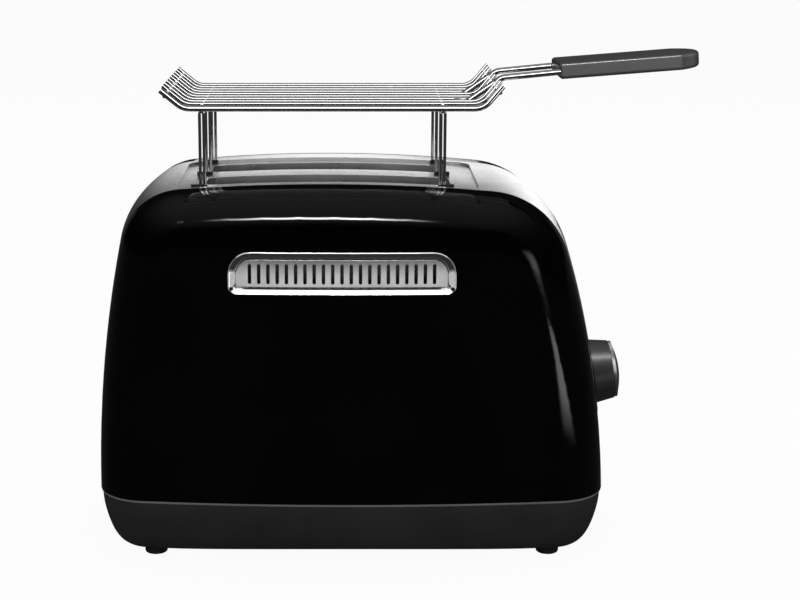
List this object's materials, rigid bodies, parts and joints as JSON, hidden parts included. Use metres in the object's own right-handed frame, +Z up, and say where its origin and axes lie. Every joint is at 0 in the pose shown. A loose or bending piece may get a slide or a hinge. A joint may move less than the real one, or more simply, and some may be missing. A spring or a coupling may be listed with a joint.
{
  "type": "toaster",
  "caption": "Two-slot toaster with black enamelled shells, a brushed steel band, a browning dial on the end and a wire warming rack with a grip.",
  "frame": {"origin": "on the table, under the middle of the base", "axes": "+X along the toaster to the end with the dial, +Y to the rear, +Z up"},
  "size_m": [0.3229, 0.18, 0.2617],
  "materials": {
    "charcoal_plastic": "fine satin grain",
    "foot_rubber": "matte",
    "zinc_steel": "dull zinc plated sheet",
    "black_enamel": "deep gloss enamel",
    "brushed_band": "fine brushed, lengthways grain",
    "bezel_chrome": "bright polished",
    "grille_steel": "brushed",
    "mica": "speckled mineral sheet",
    "heating_alloy": "dull oxidised",
    "wire_chrome": "polished wire",
    "spring_steel": "bright drawn wire",
    "magnet_iron": "laminated, dull",
    "coil_copper": "lacquered wire",
    "panel_black": "satin to gloss",
    "knob_plastic": "satin",
    "knob_steel": "turned and brushed",
    "board_green": "solder resist",
    "lens_red": "clear lens",
    "grip_plastic": "fine satin grain",
    "black_bush": "smooth bearing plastic"
  },
  "bodies": {
    "housing": {"base_tub": "charcoal_plastic", "rubber_feet": "foot_rubber", "base_screws": "zinc_steel", "chassis_floor": "zinc_steel", "end_plate_left": "zinc_steel", "end_plate_right": "zinc_steel", "reflector_front": "zinc_steel", "reflector_rear": "zinc_steel", "front_shell": "black_enamel", "rear_shell": "black_enamel", "steel_band": "brushed_band", "front_vent_trim": "bezel_chrome", "rear_vent_trim": "bezel_chrome", "front_vent_grille": "grille_steel", "rear_vent_grille": "grille_steel", "heater_card_front": "mica", "heater_card_centre": "mica", "heater_card_rear": "mica", "heater_ribbon_front": "heating_alloy", "heater_ribbon_rear": "heating_alloy", "heater_ribbons_centre": "heating_alloy", "guide_rod": "wire_chrome", "latch_core": "magnet_iron", "latch_coil": "coil_copper", "control_panel": "panel_black", "dial_potentiometer": "black_bush", "control_board": "board_green", "indicator_lenses": "lens_red", "tray_rails": "charcoal_plastic", "cord_bushing": "foot_rubber", "return_spring": "spring_steel"},
    "carriage": {"bread_lifter_front": "zinc_steel", "bread_lifter_rear": "zinc_steel", "carriage_bracket": "zinc_steel", "carriage_bush": "black_bush", "latch_armature": "magnet_iron", "lever_arm": "zinc_steel", "lever_tab": "knob_plastic"},
    "guide_front_outer": {"bread_guide_front_outer": "wire_chrome"},
    "guide_front_inner": {"bread_guide_front_inner": "wire_chrome"},
    "guide_rear_inner": {"bread_guide_rear_inner": "wire_chrome"},
    "guide_rear_outer": {"bread_guide_rear_outer": "wire_chrome"},
    "dial": {"dial_knob": "knob_plastic", "dial_cap": "knob_steel", "dial_shaft": "wire_chrome"},
    "cancel": {"cancel_button": "knob_plastic"},
    "reheat": {"reheat_button": "knob_plastic"},
    "defrost": {"defrost_button": "knob_plastic"},
    "bagel": {"bagel_button": "knob_plastic"},
    "tray": {"crumb_tray": "zinc_steel", "tray_pull": "charcoal_plastic"},
    "rack": {"rack_grid": "wire_chrome", "rack_legs": "wire_chrome", "rack_feet": "foot_rubber", "rack_handle_wires": "wire_chrome", "rack_grip": "grip_plastic"}
  },
  "joints": [
    {"name": "lift", "type": "slide", "parent": "housing", "child": "carriage", "axis": [0, 0, -1], "range_m": [0, 0.048], "stiffness_N_per_m": 70, "springref_m": -0.03, "deforming": ["return_spring"]},
    {"name": "close_front_outer", "type": "slide", "parent": "housing", "child": "guide_front_outer", "axis": [0, 1, 0], "range_m": [0, 0.0045]},
    {"name": "close_front_inner", "type": "slide", "parent": "housing", "child": "guide_front_inner", "axis": [0, -1, 0], "range_m": [0, 0.0045]},
    {"name": "close_rear_inner", "type": "slide", "parent": "housing", "child": "guide_rear_inner", "axis": [0, 1, 0], "range_m": [0, 0.0045]},
    {"name": "close_rear_outer", "type": "slide", "parent": "housing", "child": "guide_rear_outer", "axis": [0, -1, 0], "range_m": [0, 0.0045]},
    {"name": "browning", "type": "hinge", "parent": "housing", "child": "dial", "pos_m": [0.13248, 0, 0.0833], "axis": [0.9914, 0, 0.1305], "range_deg": [-135, 135]},
    {"name": "press_cancel", "type": "slide", "parent": "housing", "child": "cancel", "axis": [-0.9914, 0, -0.1305], "range_m": [0, 0.0012], "stiffness_N_per_m": 300, "springref_m": -0.0005},
    {"name": "press_reheat", "type": "slide", "parent": "housing", "child": "reheat", "axis": [-0.9914, 0, -0.1305], "range_m": [0, 0.0012], "stiffness_N_per_m": 300, "springref_m": -0.0005},
    {"name": "press_defrost", "type": "slide", "parent": "housing", "child": "defrost", "axis": [-0.9914, 0, -0.1305], "range_m": [0, 0.0012], "stiffness_N_per_m": 300, "springref_m": -0.0005},
    {"name": "press_bagel", "type": "slide", "parent": "housing", "child": "bagel", "axis": [-0.9914, 0, -0.1305], "range_m": [0, 0.0012], "stiffness_N_per_m": 300, "springref_m": -0.0005},
    {"name": "tray_out", "type": "slide", "parent": "housing", "child": "tray", "axis": [0, 1, 0], "range_m": [0, 0.115]},
    {"name": "rack_lift", "type": "slide", "parent": "housing", "child": "rack", "axis": [0, 0, 1], "range_m": [0, 0.06]}
  ],
  "couplings": [
    {"joint": "close_front_outer", "follows": "lift", "ratio": 0.0937},
    {"joint": "close_front_inner", "follows": "lift", "ratio": 0.0937},
    {"joint": "close_rear_inner", "follows": "lift", "ratio": 0.0937},
    {"joint": "close_rear_outer", "follows": "lift", "ratio": 0.0937}
  ]
}
